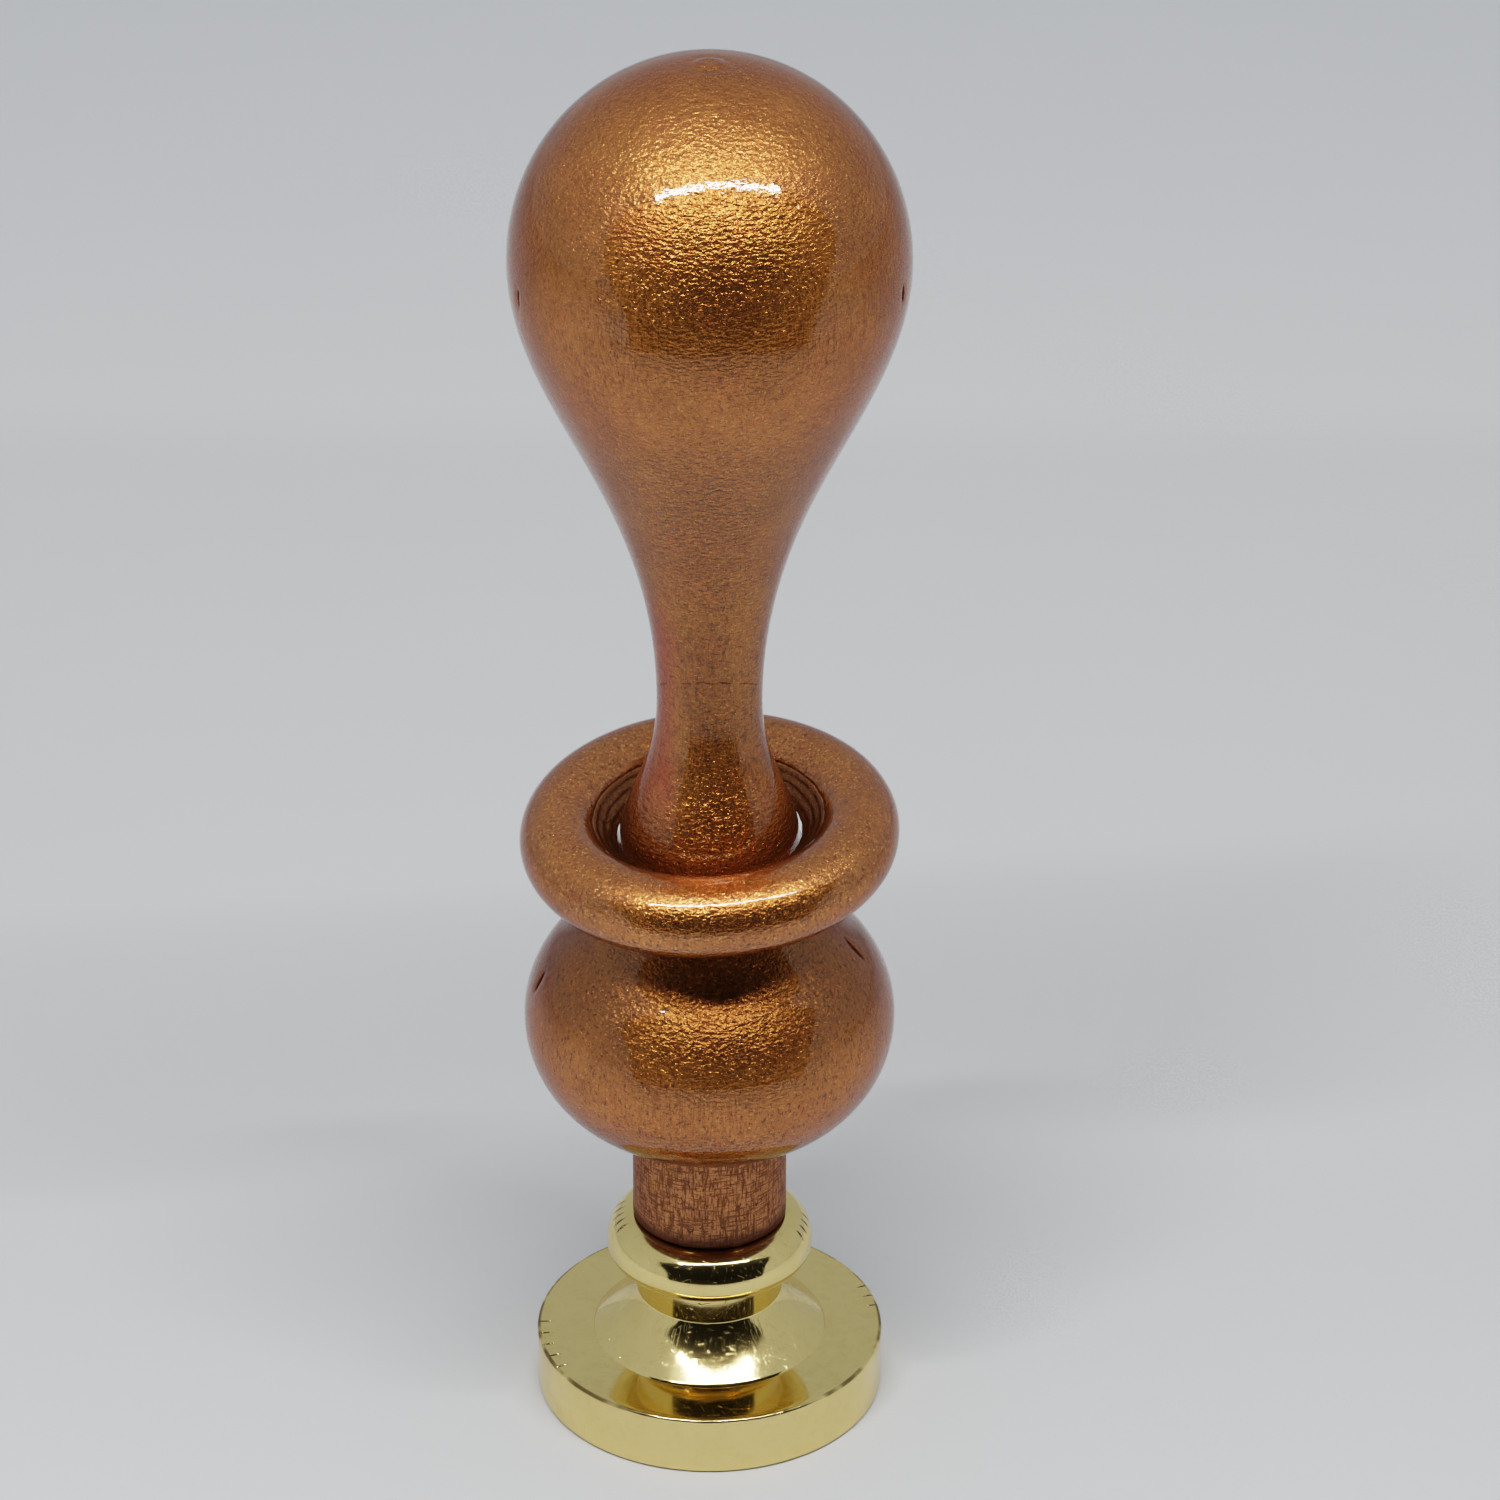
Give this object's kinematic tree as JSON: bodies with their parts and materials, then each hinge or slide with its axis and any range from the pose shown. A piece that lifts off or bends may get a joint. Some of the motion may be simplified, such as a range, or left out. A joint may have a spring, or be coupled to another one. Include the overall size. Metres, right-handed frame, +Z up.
{
  "type": "wax seal stamp",
  "caption": "Wax seal stamp: a turned wooden handle in copper lacquer with a loose captive ring on its waist, screwed onto a round turned brass seal head.",
  "frame": {"origin": "centre of the seal face, on the surface that the stamp stands on", "axes": "+Z up along the turned axis, from the seal face to the top of the grip; -Y faces the viewer in the picture"},
  "size_m": [0.0268, 0.0268, 0.1024],
  "materials": {
    "polished_brass": "machine-turned and polished, pale yellow, with fine concentric turning marks and small nicks on the rim",
    "zinc_plated_steel": "bright zinc plating on a rolled thread",
    "copper_lacquer": "turned hardwood under a glossy metallic copper-brown lacquer, with open pores and mottled grain showing through"
  },
  "bodies": {
    "seal_head": {"seal_head": "polished_brass"},
    "hanger_bolt": {"hanger_bolt": "zinc_plated_steel"},
    "handle": {"handle": "copper_lacquer"},
    "captive_ring": {"captive_ring": "copper_lacquer"}
  },
  "joints": [
    {"name": "bolt_rise", "type": "slide", "parent": "seal_head", "child": "hanger_bolt", "axis": [0, 0, 1], "range_m": [0, 0.0081]},
    {"name": "handle_turn", "type": "hinge", "parent": "hanger_bolt", "child": "handle", "pos_m": [0, 0, 0.0145], "axis": [0, 0, 1], "range_deg": [0, 2880]},
    {"name": "ring_slide", "type": "slide", "parent": "handle", "child": "captive_ring", "axis": [0, 0, 1], "range_m": [0, 0.023]}
  ],
  "couplings": [
    {"joint": "bolt_rise", "follows": "handle_turn", "m_per_rad": 0.00015915}
  ]
}
